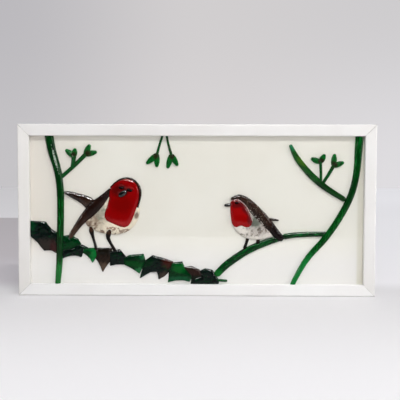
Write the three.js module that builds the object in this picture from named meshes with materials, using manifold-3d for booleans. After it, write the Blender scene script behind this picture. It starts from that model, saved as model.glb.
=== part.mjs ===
// Framed fused glass panel: two robins, ivy, stems and mistletoe in coloured glass, kiln-fused to a
// cream glass sheet, in a white mitred box frame that stands on its bottom rail.
//
// Millimetres, +Z up, +X to the viewer's right. The picture faces -Y. The origin is under the middle
// of the frame, on the surface that it stands on.

import * as THREE from 'three';
import { mergeVertices } from 'three/addons/utils/BufferGeometryUtils.js';
import Module from 'manifold-3d';

const wasm = await Module();
wasm.setup();

// Frame moulding
const frameWidth = 520;
const frameHeight = 250;
const frameDepth = 45;
const railFace = 17;
const rebate = 5;
const lipDepth = 7;
const outerRounding = 2.4;
const sightRounding = 0.9;
const mitreGap = 0.3;

// What the frame holds
const fitGap = 0.3;
const sheetThickness = 4;
const boardThickness = 3;
const tabThickness = 0.8;
const tabWidth = 9;
const tabReach = 9;
const tabRoot = 5;

// How high the fused pieces stand on the sheet
const stemHeight = 4.4;
const branchHeight = 3.8;
const leafHeight = 3.2;
const stalkHeight = 2.1;
const budHeight = 2.9;
const bellyHeight = 3.3;
const backHeight = 4;
const breastHeight = 4.8;
const legHeight = 2.6;
const beadHeight = 5.9;
const beadSeat = 2.6;
const leafRounding = 2.4;
const bodyRounding = 3.2;

// The two birds, from feet to crown, and the leaves of the sprigs
const leftRobinHeight = 106;
const rightRobinHeight = 79;
const budHalfWidth = 3.4;
const tendrilHalfWidth = 1.6;

// Worked out from the sizes above
const railWall = railFace - rebate;
const sightWidth = frameWidth - 2 * railFace;
const sightHeight = frameHeight - 2 * railFace;
const pocketWidth = frameWidth - 2 * railWall;
const pocketHeight = frameHeight - 2 * railWall;
const frontY = -frameDepth / 2;
const sheetFrontY = frontY + lipDepth + fitGap;
const boardFrontY = sheetFrontY + sheetThickness + fitGap;
const tabFrontY = boardFrontY + boardThickness + fitGap;

const finish = (color, roughness, metalness = 0) =>
  new THREE.MeshStandardMaterial({ color, roughness, metalness });
const finishes = {
  whitePaint: finish(0xefeeec, 0.45),
  creamGlass: finish(0xe6e0d2, 0.08),
  hardboard: finish(0x8a6a4a, 0.8),
  steel: finish(0xb8babc, 0.35, 1),
  stemGreen: finish(0x0a5a1e, 0.1),
  branchGreen: finish(0x0c4218, 0.1),
  budGreen: finish(0x146a2c, 0.1),
  leafGreen: finish(0x0c5a28, 0.1),
  leafDark: finish(0x10241c, 0.1),
  leafBrown: finish(0x33211d, 0.1),
  robinRed: finish(0x8e0606, 0.08),
  robinBrown: finish(0x2e1a14, 0.1),
  robinWhite: finish(0xd9cfbf, 0.12),
  black: finish(0x120d0b, 0.08),
};

// Solids: a closed mesh goes in and out of the boolean library

/** The closed geometry as a solid that can be cut and joined. */
function toSolid(geometry) {
  const bare = geometry.clone();
  bare.deleteAttribute('normal');
  bare.deleteAttribute('uv');
  const merged = mergeVertices(bare, 1e-5);
  return new wasm.Manifold(new wasm.Mesh({
    numProp: 3,
    vertProperties: new Float32Array(merged.attributes.position.array),
    triVerts: new Uint32Array(merged.index.array),
  }));
}

/** The solid's largest body as geometry: an off-cut left over by a trim is thrown away. */
function toGeometry(solid) {
  const bodies = solid.decompose().sort((a, b) => b.volume() - a.volume());
  const mesh = bodies[0].getMesh();
  const geometry = new THREE.BufferGeometry();
  geometry.setAttribute('position', new THREE.BufferAttribute(new Float32Array(mesh.vertProperties), 3));
  geometry.setIndex(new THREE.BufferAttribute(new Uint32Array(mesh.triVerts), 1));
  geometry.computeVertexNormals();
  return geometry;
}

/** A box between two corners, as a solid. */
function boxSolid(low, high) {
  const size = high.clone().sub(low);
  const middle = low.clone().add(high).multiplyScalar(0.5);
  return toSolid(new THREE.BoxGeometry(size.x, size.y, size.z).translate(middle.x, middle.y, middle.z));
}

/** Stacked rings of equal length as one closed skin, with a flat or pointed cap at both ends. */
function skinOfRings(rings, firstCap, lastCap) {
  const count = rings[0].length;
  const points = rings.flat();
  const first = points.push(firstCap) - 1;
  const last = points.push(lastCap) - 1;
  const faces = [];
  for (let ring = 0; ring + 1 < rings.length; ring += 1) {
    for (let i = 0; i < count; i += 1) {
      const a = ring * count + i;
      const b = ring * count + (i + 1) % count;
      faces.push(a, b, b + count, a, b + count, a + count);
    }
  }
  const top = (rings.length - 1) * count;
  for (let i = 0; i < count; i += 1) {
    const next = (i + 1) % count;
    faces.push(first, next, i, last, top + i, top + next);
  }
  const geometry = new THREE.BufferGeometry().setFromPoints(points);
  geometry.setIndex(faces);
  return geometry;
}

/** The outline moved outwards by a distance, corner by corner. It runs anticlockwise. */
function grownOutline(outline, distance) {
  return outline.map((point, i) => {
    const before = outline[(i + outline.length - 1) % outline.length];
    const after = outline[(i + 1) % outline.length];
    const along = after.clone().sub(before).normalize();
    return point.clone().add(new THREE.Vector2(along.y, -along.x).multiplyScalar(distance));
  });
}

// Fused glass pieces, drawn on the sheet: x across, y up, z out towards the viewer

/** A place on the sheet, in percent of the sight opening from its lower left corner. */
const onPanel = (across, up) =>
  new THREE.Vector2((across / 100 - 0.5) * sightWidth, (up / 100) * sightHeight);

/** A smooth line through stations of place and half width, as [place, half width] pairs. */
const stripLine = (stations) =>
  new THREE.CatmullRomCurve3(stations.map(([place, half]) => new THREE.Vector3(place.x, place.y, half)));

const stripSection = [[1, 0], [-1, 0], [-1, 0.36], [-0.66, 0.84], [0, 1], [0.66, 0.84], [1, 0.36]];
const slimSection = [[1, 0], [-1, 0], [-0.9, 0.55], [0, 1], [0.9, 0.55]];
const roundEnd = [[0.5, 0.82, 0.94], [0.85, 0.45, 0.74]];

/**
 * A rod or cut strip of glass, softened in the kiln: flat below, domed above, with round ends.
 * @param {THREE.CatmullRomCurve3} line its middle, with its half width as z
 */
function strip(line, height, { steps = 12, section = stripSection, seat = 0 } = {}) {
  const stations = [];
  for (let i = 0; i <= steps; i += 1) {
    const at = line.getPoint(i / steps);
    const ahead = line.getPoint(Math.min(1, i / steps + 0.01));
    const behind = line.getPoint(Math.max(0, i / steps - 0.01));
    const along = new THREE.Vector2(ahead.x - behind.x, ahead.y - behind.y).normalize();
    stations.push({ middle: new THREE.Vector2(at.x, at.y), along, half: at.z, rise: 1 });
  }
  const rounded = (end, sign) => roundEnd.map(([reach, narrow, rise]) => ({
    middle: end.middle.clone().addScaledVector(end.along, sign * reach * end.half),
    along: end.along,
    half: end.half * narrow,
    rise,
  }));
  const all = [...rounded(stations[0], -1).reverse(), ...stations, ...rounded(stations[steps], 1)];
  const sideOf = ({ middle, along, half }, side) =>
    new THREE.Vector2(middle.x + along.y * side * half, middle.y - along.x * side * half);
  const rings = all.map((at) => section.map(([side, up]) => {
    const place = sideOf(at, side);
    return new THREE.Vector3(place.x, place.y, seat + up * at.rise * (height - seat));
  }));
  const cap = ({ middle, rise }) =>
    new THREE.Vector3(middle.x, middle.y, seat + 0.4 * rise * (height - seat));
  return {
    solid: toSolid(skinOfRings(rings, cap(all[0]), cap(all[all.length - 1]))),
    outlines: [[...all.map((at) => sideOf(at, 1)), ...all.map((at) => sideOf(at, -1)).reverse()]],
    seat,
  };
}

/**
 * A cut tile of glass with kiln-rounded edges: flat below, a low dome above.
 * @param {THREE.Vector2[]} outline anticlockwise, all of it in sight of the middle
 */
function tile(outline, middle, height, rounding, seat = 0) {
  const levels = [[0, 0], [0, 0.4], [0.4, 0.82], [1, 0.97]];
  const rings = levels.map(([inset, up]) => outline.map((point) => {
    const reach = point.distanceTo(middle);
    const kept = 1 - inset * Math.min(rounding / reach, 0.5);
    const place = middle.clone().lerp(point, kept);
    return new THREE.Vector3(place.x, place.y, seat + up * (height - seat));
  }));
  const below = new THREE.Vector3(middle.x, middle.y, seat);
  const above = new THREE.Vector3(middle.x, middle.y, height);
  return { solid: toSolid(skinOfRings(rings, below, above)), outlines: [outline], seat };
}

/** A closed smooth outline through a few points. */
function smoothOutline(points, count) {
  const curve = new THREE.CatmullRomCurve3(
    points.map((point) => new THREE.Vector3(point.x, point.y, 0)), true, 'centripetal');
  return curve.getSpacedPoints(count).slice(0, count).map((point) => new THREE.Vector2(point.x, point.y));
}

/**
 * A leaf's outline: points joined by edges that bow towards the leaf's middle, as a spiny leaf's do.
 * @param {number[][]} tips [across, up, bow] in percent of the opening, the bow as a share of the
 * edge's length, for the edge that leaves that tip. Listed clockwise from the top left.
 */
function leafOutline(tips) {
  const corners = tips.map(([across, up]) => onPanel(across, up));
  const points = corners.flatMap((corner, i) => {
    const next = corners[(i + 1) % corners.length];
    const bow = tips[i][2] || 0;
    if (bow === 0) {
      return [corner];
    }
    const edge = next.clone().sub(corner);
    const inward = new THREE.Vector2(edge.y, -edge.x).multiplyScalar(bow);
    const control = corner.clone().lerp(next, 0.5).addScaledVector(inward, 2);
    return new THREE.QuadraticBezierCurve(corner, control, next).getPoints(3).slice(0, 3);
  });
  return points.reverse();
}

/** Prisms over a piece's outlines, a gap wider all round, that clear room for it in what lies below. */
function clearingsFor({ outlines, seat }) {
  return outlines.map((outline) => {
    const shape = new THREE.Shape(grownOutline(outline, fitGap));
    const geometry = new THREE.ExtrudeGeometry(shape, { depth: 2 * lipDepth, bevelEnabled: false });
    return toSolid(geometry.translate(0, 0, seat));
  });
}

// The stems and branches

const leftStem = stripLine([
  [onPanel(5.4, 104), 6], [onPanel(6.5, 90.4), 5.7], [onPanel(8.3, 76), 5.1], [onPanel(9, 62), 4.8],
  [onPanel(9, 45), 4.6], [onPanel(8.8, 28), 4.6], [onPanel(8.5, 12), 4.2], [onPanel(7.9, -4), 3.3],
]);
const rightStem = stripLine([
  [onPanel(98.7, 104), 5.8], [onPanel(98.3, 90), 5.1], [onPanel(97.8, 75), 4.5], [onPanel(96.3, 60.7), 4.5],
  [onPanel(93.1, 46), 4.4], [onPanel(88.7, 31.3), 4.3], [onPanel(83.1, 16.7), 3.8], [onPanel(78, -4), 3],
]);
const upperBranch = stripLine([
  [onPanel(78.1, 93.6), 2.2], [onPanel(79.8, 86.1), 3.8], [onPanel(82.9, 77.2), 4.4],
  [onPanel(86.2, 69.9), 4.5], [onPanel(89.5, 64.2), 4.1], [onPanel(94, 58), 3.5],
]);
const perchBranch = stripLine([
  [onPanel(56.4, 7.2), 4.8], [onPanel(58.9, 12.8), 5], [onPanel(61.7, 17.5), 5.1], [onPanel(64.5, 21.7), 5],
  [onPanel(67.3, 25), 4.9], [onPanel(70.2, 27.7), 4.7], [onPanel(73, 29.9), 4.3],
  [onPanel(75.2, 31.5), 3.9],
]);
const perchTwig = stripLine([
  [onPanel(76.6, 32.4), 3.8], [onPanel(79, 33.3), 3.6], [onPanel(82, 33.8), 3.5],
  [onPanel(86, 34.1), 3.4], [onPanel(89.4, 34.2), 3.2],
]);

// The ivy garland: each leaf's middle and its tips, in percent of the opening

const ivyLeaves = [
  ['ivy_leaf_03', 'leafDark', [12.6, 21.6], [
    [8.8, 24], [12.5, 26.2], [15.5, 26.3], [17.4, 24.2], [15.9, 21.9], [15.2, 18, 0.06], [12.2, 19, 0.06],
    [8.8, 16]]],
  ['ivy_leaf_02', 'leafGreen', [11.8, 27.6], [
    [8.8, 32], [11.9, 33], [14.3, 30.2], [15.2, 26.6, 0.05], [12.5, 23.6], [8.8, 22]]],
  ['ivy_leaf_01', 'leafDark', [4.8, 30.5], [
    [-1, 42.6], [4.5, 41.8], [6.2, 36.8], [9, 33.2], [9, 18, 0.04], [6.4, 22.4, 0.05], [4, 22.2], [2, 28],
    [-1, 34.6]]],
  ['ivy_leaf_05', 'leafBrown', [21.7, 19], [
    [19.2, 24.2], [24.4, 24.1], [24.4, 16.4, 0.04], [21.7, 7.8, 0.05], [19.4, 17.8]]],
  ['ivy_leaf_04', 'leafGreen', [18, 20], [
    [15.7, 23.4], [17.2, 24], [19.7, 24.2], [19.9, 18.6], [18.6, 14.2, 0.08], [15.8, 21]]],
  ['ivy_leaf_06', 'leafDark', [25.9, 17.4], [
    [23.6, 21.6, 0.04], [26.8, 23.3], [28.8, 18], [28.5, 12.9, 0.07], [23.9, 12, 0.05]]],
  ['ivy_leaf_08', 'leafDark', [38, 12], [
    [34.4, 15.5], [36.8, 19.3], [39.2, 17.8], [43, 15], [42, 9], [40.4, 5.2], [38.6, 3, 0.05],
    [38.1, 8.2], [36, 7.9], [32.9, 3.7]]],
  ['ivy_leaf_07', 'leafGreen', [31.6, 14.6], [
    [28.2, 17.4], [29.7, 19.3], [34, 20.2], [34.6, 15.4], [32.8, 6.9, 0.03], [28.2, 13]]],
  ['ivy_leaf_11', 'leafDark', [52.6, 4.6], [
    [50.5, 8.3], [52.6, 10.4], [54.9, 9.3], [56, 5], [57, 2.4], [56.4, -1], [48.2, -1], [48.6, 4.4]]],
  ['ivy_leaf_10', 'leafBrown', [48.7, 7.4], [
    [45.7, 11], [48.5, 12], [51, 9.4], [51.7, 4.6], [48.4, 3], [46.4, 6.2]]],
  ['ivy_leaf_09', 'leafGreen', [44.6, 8], [
    [42.6, 14.2], [45.7, 15.1], [46.5, 10.5], [48.7, 5.2], [48, 1.6, 0.08], [41.4, 1, 0.03], [41.7, 8]]],
];
const ivyTendril = stripLine([
  [onPanel(56.6, 2.6), tendrilHalfWidth],
  [onPanel(57.8, 2.3), tendrilHalfWidth],
  [onPanel(59, 2.1), tendrilHalfWidth],
]);

// The mistletoe: each sprig's root, its stalk's length and lean, and its leaves' lengths and leans.
// A lean is in degrees from straight up, to the right.

/** A point a distance away from another, in the direction of a lean. */
function leant(from, lean, distance) {
  const angle = THREE.MathUtils.degToRad(lean);
  return from.clone().add(new THREE.Vector2(Math.sin(angle), Math.cos(angle)).multiplyScalar(distance));
}

/** The place on a strip's middle line at a share of its length. */
function alongLine(line, share) {
  const at = line.getPoint(share);
  return new THREE.Vector2(at.x, at.y);
}

const twig = {
  root: alongLine(leftStem, 0.337), lean: 47.3, length: 52, half: 2.1, leaves: [[25, 16], [76, 17]],
};
const sprigs = {
  left_long: twig,
  left_short: {
    root: leant(twig.root, twig.lean, 27), lean: 7, length: 14.5, half: 2.4, leaves: [[-50, 15], [11, 11.5]],
  },
  top_left: { root: onPanel(39.9, 101), lean: 197, length: 30, half: 1.4, leaves: [[228, 20], [181, 18]] },
  top_right: { root: onPanel(40.9, 101), lean: 166, length: 30, half: 1.4, leaves: [[196, 20], [150, 18]] },
  right_upright: {
    root: alongLine(upperBranch, 0.66), lean: -1, length: 31.5, half: 1.6, leaves: [[-68, 14.5], [28, 12.5]],
  },
  right_leaning: {
    root: alongLine(upperBranch, 0.68), lean: 31.5, length: 32, half: 2, leaves: [[5, 17], [70, 15.5]],
  },
};

/** A sprig's stalk, which thickens a little where the leaves leave it. */
function sprigStalk({ root, lean, length, half }) {
  const line = stripLine([
    [root, half], [leant(root, lean + 2, length / 2), half], [leant(root, lean, length), 1.2 * half],
  ]);
  return strip(line, stalkHeight, { steps: 4, section: slimSection });
}

/** A sprig's two leaves, run together at the top of the stalk. */
function sprigLeaves({ root, lean, length, leaves }) {
  const joint = leant(root, lean, length);
  const pair = leaves.map(([leafLean, leafLength]) => strip(stripLine([
    [joint, 0.6 * budHalfWidth],
    [leant(joint, leafLean, 0.5 * leafLength), budHalfWidth],
    [leant(joint, leafLean, leafLength - 0.5 * budHalfWidth), 0.45 * budHalfWidth],
  ]), budHeight, { steps: 3, section: slimSection }));
  return {
    solid: pair[0].solid.add(pair[1].solid),
    outlines: pair.flatMap(({ outlines }) => outlines),
    seat: 0,
  };
}

// The robins, each drawn in percent of its own height from the point between its feet

/** Draws in percent of a bird's height, from the ground under it. */
const birdPlacer = (feet, height) => (across, up) =>
  feet.clone().add(new THREE.Vector2(across, up).multiplyScalar(height / 100));

/** A strip whose stations are [across, up, half width] in percent of the bird's height. */
function birdStrip(place, birdHeight, stations, height, options) {
  const line = stations.map(([across, up, half]) => [place(across, up), (half / 100) * birdHeight]);
  return strip(stripLine(line), height, options);
}

/** A tile whose outline is in percent of the bird's height, listed clockwise. */
function birdTile(place, points, middle, height, count) {
  const outline = smoothOutline(points.map(([across, up]) => place(across, up)).reverse(), count);
  return tile(outline, place(...middle), height, bodyRounding);
}

/** The robin that faces the viewer, with its wing held out, in laying order. */
function leftRobin() {
  const size = leftRobinHeight;
  const place = birdPlacer(onPanel(22.5, 22.6), size);
  const part = (stations, height, options) => birdStrip(place, size, stations, height, options);
  return [
    ['left_robin_belly', 'robinWhite', birdTile(place, [
      [5.5, 78], [18, 76], [44, 66], [47.5, 56], [44, 41], [35.8, 30.3], [26, 24.6], [12.4, 22.3],
      [-1.4, 23.6], [-13.8, 27.5], [-23.4, 33], [-28, 40], [-18, 52], [-3, 63]],
    [10, 46], bellyHeight, 30)],
    ['left_robin_wing', 'robinBrown', part(
      [[-55, 80, 1.8], [-46.8, 77.2, 3.6], [-34.4, 72.2, 5.3], [-24.8, 67.2, 7.4], [-19, 62, 8]],
      backHeight)],
    ['left_robin_back', 'robinBrown', part(
      [[6.4, 83.4, 2.2], [1.4, 76.3, 4.4], [-5.5, 68.8, 6.2], [-13.8, 61, 8], [-22, 52.3, 7.4],
        [-29.3, 45, 5.9], [-37, 35.6, 4.3], [-43.8, 26, 3.6], [-48, 19.2, 3]], backHeight, { steps: 16 })],
    ['left_robin_crown', 'robinBrown', part(
      [[9, 87.4, 2], [15.6, 93.4, 2.4], [22.4, 97.4, 2.4], [29.6, 98.9, 2.4], [37, 97.4, 2.4],
        [43, 92.6, 2.4], [47, 86, 2.4], [48, 77, 2.2], [46.6, 68, 1.6], [45, 60, 1]], backHeight,
      { steps: 14, section: slimSection })],
    ['left_robin_breast', 'robinRed', birdTile(place, [
      [7.4, 85.3], [16.5, 93.2], [29, 97.2], [39.9, 94.2], [45.8, 86], [46.8, 74], [44, 61.9], [39.9, 49.5],
      [36.3, 41], [31.6, 34], [25.5, 31.9], [16.5, 35], [7.5, 38.7], [0.6, 43], [-0.8, 49.5], [2.1, 58.5],
      [5.6, 71.5]],
    [22, 64], breastHeight, 34)],
    ['left_robin_beak', 'black', part([[21.8, 76.4, 2.7], [24.6, 78.4, 3.3], [27.6, 80.4, 2.6]], beadHeight,
      { steps: 3, section: slimSection, seat: beadSeat })],
    ['left_robin_eye_1', 'black', part([[20.8, 86.4, 1.9], [24.8, 86, 1.7]], breastHeight + 0.5,
      { steps: 2, section: slimSection, seat: beadSeat })],
    ['left_robin_eye_2', 'black', part([[31.6, 83.4, 1.8], [36.8, 82.7, 1.6]], breastHeight + 0.5,
      { steps: 2, section: slimSection, seat: beadSeat })],
    ['left_robin_leg_1', 'black', part(
      [[-19.9, 30.6, 2.4], [-19.3, 26.8, 3.2], [-17.9, 21.3, 2], [-15.4, 12.4, 1.5], [-12.9, 2.6, 1.9]],
      legHeight, { steps: 8, section: slimSection })],
    ['left_robin_leg_2', 'black', part(
      [[6, 26.4, 2.8], [4.2, 21.5, 3.5], [3.9, 17, 2.4], [7.8, 8.9, 1.7], [12.8, 0.4, 2]], legHeight,
      { steps: 8, section: slimSection })],
  ];
}

/** The robin in profile on the perch, in laying order. */
function rightRobin() {
  const size = rightRobinHeight;
  const place = birdPlacer(onPanel(66.1, 24.5), size);
  const part = (stations, height, options) => birdStrip(place, size, stations, height, options);
  return [
    ['right_robin_leg_1', 'black', part(
      [[-3.7, 20, 2.9], [-6.5, 10.1, 2.4], [-9.6, 0.5, 2.8]], legHeight,
      { steps: 4, section: slimSection })],
    ['right_robin_leg_2', 'black', part(
      [[15.7, 18.5, 3], [14.4, 10.5, 3]], legHeight, { steps: 3, section: slimSection })],
    ['right_robin_belly', 'robinWhite', birdTile(place, [
      [-30, 58], [-4, 62], [7.4, 60], [22.1, 49], [35, 38], [42, 24], [29.5, 18.3], [14.8, 16], [0, 16.8],
      [-11, 20.5], [-21, 27.7], [-28.6, 35.6], [-33, 45]], [3, 36], bellyHeight, 28)],
    ['right_robin_wing_tip', 'robinBrown', part(
      [[34, 53.8, 2.4], [44, 52.6, 1.8], [52, 51.8, 0.9]], legHeight, { steps: 4, section: slimSection })],
    ['right_robin_back', 'robinBrown', part(
      [[-33, 91.4, 2.4], [-21.2, 94.8, 4.2], [-10, 88.6, 6.4], [2, 78, 8.2], [12.8, 66, 9],
        [23.4, 54.8, 9.2], [33.4, 44.6, 8.4], [42, 34.1, 7.4], [50.2, 24.9, 6.6], [56.4, 19, 5.8]],
      backHeight, { steps: 18 })],
    ['right_robin_breast', 'robinRed', birdTile(place, [
      [-35.6, 86], [-29.5, 89.4], [-20.8, 87.4], [-12, 80.6], [-4.8, 71], [0.6, 58.6], [3.6, 48.9],
      [1, 41.2], [-7, 38.6], [-17.5, 42.3], [-25.5, 38.6], [-32.4, 44], [-35.2, 58.1], [-36.4, 74.7]],
    [-17, 64], breastHeight, 30)],
    ['right_robin_beak', 'black', part(
      [[-38.4, 79.8, 2.7], [-42.6, 79.5, 2.6], [-45.6, 79.2, 2.1]], legHeight,
      { steps: 3, section: slimSection })],
    ['right_robin_eye', 'black', part([[-26.6, 83.8, 2.1], [-24, 83.4, 2.1]], breastHeight + 0.5,
      { steps: 2, section: slimSection, seat: beadSeat })],
  ];
}

/** Every fused piece as [name, finish, piece], in the order in which they are laid on the sheet. */
function laidPieces() {
  return [
    ...ivyLeaves.map(([name, glass, middle, tips]) =>
      [name, glass, tile(leafOutline(tips), onPanel(...middle), leafHeight, leafRounding)]),
    ['ivy_tendril', 'budGreen', strip(ivyTendril, stalkHeight, { steps: 2, section: slimSection })],
    ...Object.entries(sprigs).flatMap(([name, sprig]) => [
      [`sprig_${name}_leaves`, 'budGreen', sprigLeaves(sprig)],
      [`sprig_${name}_stalk`, 'budGreen', sprigStalk(sprig)],
    ]),
    ...leftRobin(),
    ['perch_branch', 'branchGreen', strip(perchBranch, branchHeight, { steps: 18 })],
    ['perch_twig', 'branchGreen', strip(perchTwig, branchHeight, { steps: 10 })],
    ...rightRobin(),
    ['upper_branch', 'branchGreen', strip(upperBranch, branchHeight, { steps: 14 })],
    ['left_stem', 'stemGreen', strip(leftStem, stemHeight, { steps: 24 })],
    ['right_stem', 'stemGreen', strip(rightStem, stemHeight, { steps: 24 })],
  ];
}

/** The fused picture: each piece is trimmed round what is laid after it, and to the sight opening. */
function fusedPicture() {
  const opening = boxSolid(
    new THREE.Vector3(-sightWidth / 2 + fitGap, fitGap, fitGap),
    new THREE.Vector3(sightWidth / 2 - fitGap, sightHeight - fitGap, 2 * lipDepth),
  );
  const picture = new THREE.Group();
  const laidLater = [];
  for (const [name, glass, piece] of laidPieces().reverse()) {
    let solid = piece.solid.translate(0, 0, fitGap).intersect(opening);
    for (const clearing of laidLater) {
      solid = solid.subtract(clearing);
    }
    laidLater.push(...clearingsFor(piece));
    const mesh = new THREE.Mesh(toGeometry(solid), finishes[glass]);
    mesh.name = name;
    picture.add(mesh);
  }
  picture.rotation.x = Math.PI / 2;
  picture.position.set(0, sheetFrontY, railFace);
  return picture;
}

// The frame

/** The moulding's section: across from the outer edge inwards, and back from the front. */
function railSection() {
  const shape = new THREE.Shape();
  shape.moveTo(0, frameDepth);
  shape.lineTo(0, outerRounding);
  shape.absarc(outerRounding, outerRounding, outerRounding, Math.PI, 1.5 * Math.PI);
  shape.lineTo(railFace - sightRounding, 0);
  shape.absarc(railFace - sightRounding, sightRounding, sightRounding, 1.5 * Math.PI, 2 * Math.PI);
  shape.lineTo(railFace, lipDepth);
  shape.lineTo(railWall, lipDepth);
  shape.lineTo(railWall, frameDepth);
  shape.closePath();
  return shape;
}

/** One mitred rail along X, its outer edge at z = -reach, with slits for its tabs. */
function rail(length, reach, tabPlaces) {
  const options = { depth: 1, bevelEnabled: false, curveSegments: 4 };
  const geometry = new THREE.ExtrudeGeometry(railSection(), options);
  const position = geometry.attributes.position;
  for (let i = 0; i < position.count; i += 1) {
    const across = position.getX(i);
    const back = position.getY(i);
    const end = position.getZ(i) > 0.5 ? 1 : -1;
    position.setXYZ(i, -end * (length / 2 - across - mitreGap / 2), frontY + back, across - reach);
  }
  let solid = toSolid(geometry);
  const half = tabWidth / 2 + fitGap;
  for (const place of tabPlaces) {
    solid = solid.subtract(boxSolid(
      new THREE.Vector3(place - half, tabFrontY - fitGap, railWall - tabRoot - fitGap - reach),
      new THREE.Vector3(place + half, tabFrontY + tabThickness + fitGap, railFace - reach),
    ));
  }
  return toGeometry(solid);
}

/** A flat spring tab along Z, rooted in the rail and reaching over the board, with a rounded tip. */
function tab(place, reach) {
  const shape = new THREE.Shape();
  shape.moveTo(place - tabWidth / 2, railWall - tabRoot - reach);
  shape.lineTo(place + tabWidth / 2, railWall - tabRoot - reach);
  const tip = railWall + tabReach - tabWidth / 2 - reach;
  shape.lineTo(place + tabWidth / 2, tip);
  shape.absarc(place, tip, tabWidth / 2, 0, Math.PI);
  shape.closePath();
  const options = { depth: tabThickness, bevelEnabled: false, curveSegments: 8 };
  const geometry = new THREE.ExtrudeGeometry(shape, options);
  geometry.rotateX(Math.PI / 2);
  return geometry.translate(0, tabFrontY + tabThickness, 0);
}

/** The four rails and the tabs in them. */
function frameRails() {
  const frame = new THREE.Group();
  const long = { length: frameWidth, reach: frameHeight / 2, tabs: [-pocketWidth / 4, pocketWidth / 4] };
  const short = { length: frameHeight, reach: frameWidth / 2, tabs: [0] };
  const sides = [
    { name: 'bottom', turn: 0, ...long },
    { name: 'right', turn: -Math.PI / 2, ...short },
    { name: 'top', turn: Math.PI, ...long },
    { name: 'left', turn: Math.PI / 2, ...short },
  ];
  let tabNumber = 0;
  for (const { name, turn, length, reach, tabs } of sides) {
    const side = new THREE.Group();
    const mesh = new THREE.Mesh(rail(length, reach, tabs), finishes.whitePaint);
    mesh.name = `frame_${name}_rail`;
    side.add(mesh);
    for (const place of tabs) {
      tabNumber += 1;
      const spring = new THREE.Mesh(tab(place, reach), finishes.steel);
      spring.name = `spring_tab_${tabNumber}`;
      side.add(spring);
    }
    side.rotation.y = turn;
    frame.add(side);
  }
  frame.position.z = frameHeight / 2;
  return frame;
}

/** A flat sheet in the frame's pocket, a gap clear of the rails all round. */
function pocketSheet(name, glass, thickness, front) {
  const geometry = new THREE.BoxGeometry(pocketWidth - 2 * fitGap, thickness, pocketHeight - 2 * fitGap);
  const mesh = new THREE.Mesh(geometry, glass);
  mesh.name = name;
  mesh.position.set(0, front + thickness / 2, frameHeight / 2);
  return mesh;
}

const panel = new THREE.Group();
panel.add(frameRails());
panel.add(pocketSheet('glass_base_sheet', finishes.creamGlass, sheetThickness, sheetFrontY));
panel.add(pocketSheet('backing_board', finishes.hardboard, boardThickness, boardFrontY));
panel.add(fusedPicture());

export default panel;
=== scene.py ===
"""Framed fused glass panel: two robins, ivy, stems and mistletoe in glass, in a white box frame.

Metres, +Z up, the picture faces -Y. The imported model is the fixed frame: the glass sheet, the board
and the tabs keep their solids, and the rails and the fused pieces are modelled again over theirs.
A thin pale thread beside one robin's breast is the only piece without a solid.
"""

import logging
import math
from collections.abc import Callable, Mapping, Sequence
from dataclasses import dataclass, replace
from enum import Enum

import bpy
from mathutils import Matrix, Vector


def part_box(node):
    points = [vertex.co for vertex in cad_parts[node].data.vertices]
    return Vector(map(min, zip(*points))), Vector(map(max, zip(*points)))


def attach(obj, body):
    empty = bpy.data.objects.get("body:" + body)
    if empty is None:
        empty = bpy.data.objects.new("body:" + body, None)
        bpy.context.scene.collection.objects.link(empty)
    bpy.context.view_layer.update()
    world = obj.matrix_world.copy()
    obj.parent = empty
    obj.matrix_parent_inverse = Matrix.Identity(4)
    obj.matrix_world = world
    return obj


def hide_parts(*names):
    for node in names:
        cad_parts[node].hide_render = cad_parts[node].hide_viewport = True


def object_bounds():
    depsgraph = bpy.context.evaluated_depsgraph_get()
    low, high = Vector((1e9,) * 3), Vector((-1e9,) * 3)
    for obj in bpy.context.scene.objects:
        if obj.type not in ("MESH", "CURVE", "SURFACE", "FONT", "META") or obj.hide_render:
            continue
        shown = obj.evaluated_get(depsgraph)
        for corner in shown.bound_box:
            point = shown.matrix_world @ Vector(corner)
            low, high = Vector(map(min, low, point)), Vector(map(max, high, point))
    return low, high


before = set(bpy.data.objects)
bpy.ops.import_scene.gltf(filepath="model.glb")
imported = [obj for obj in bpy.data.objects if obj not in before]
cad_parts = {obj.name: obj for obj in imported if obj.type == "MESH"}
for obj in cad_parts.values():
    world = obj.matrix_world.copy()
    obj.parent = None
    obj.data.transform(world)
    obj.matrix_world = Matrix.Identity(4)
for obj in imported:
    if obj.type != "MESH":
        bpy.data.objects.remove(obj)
CAD_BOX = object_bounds()

MM = 0.001
FRAME_HIGH = Vector(CAD_BOX[1])
GLASS_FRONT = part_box("glass_base_sheet")[0].y
SIGHT_LOW = Vector((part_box("frame_left_rail")[1].x, 0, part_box("frame_bottom_rail")[1].z))
SIGHT_HIGH = Vector((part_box("frame_right_rail")[0].x, 0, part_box("frame_top_rail")[0].z))
MERGE = 0.002 * MM
CREST_LEVELS = (0.97, 0.92, 0.86, 0.8)
LOG = logging.getLogger("panel")

Colour = tuple[float, float, float]
Box = tuple[Vector, Vector]


def display(red: int, green: int, blue: int) -> Colour:
    """Turn a colour as a screen shows it into the linear light that a shader takes.

    Args:
        red: Red, 0 to 255.
        green: Green, 0 to 255.
        blue: Blue, 0 to 255.

    Returns:
        The linear colour.
    """
    def channel(value: int) -> float:
        """Return one channel's linear light."""
        share = value / 255
        return share / 12.92 if share <= 0.04045 else ((share + 0.055) / 1.055) ** 2.4

    return channel(red), channel(green), channel(blue)


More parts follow.
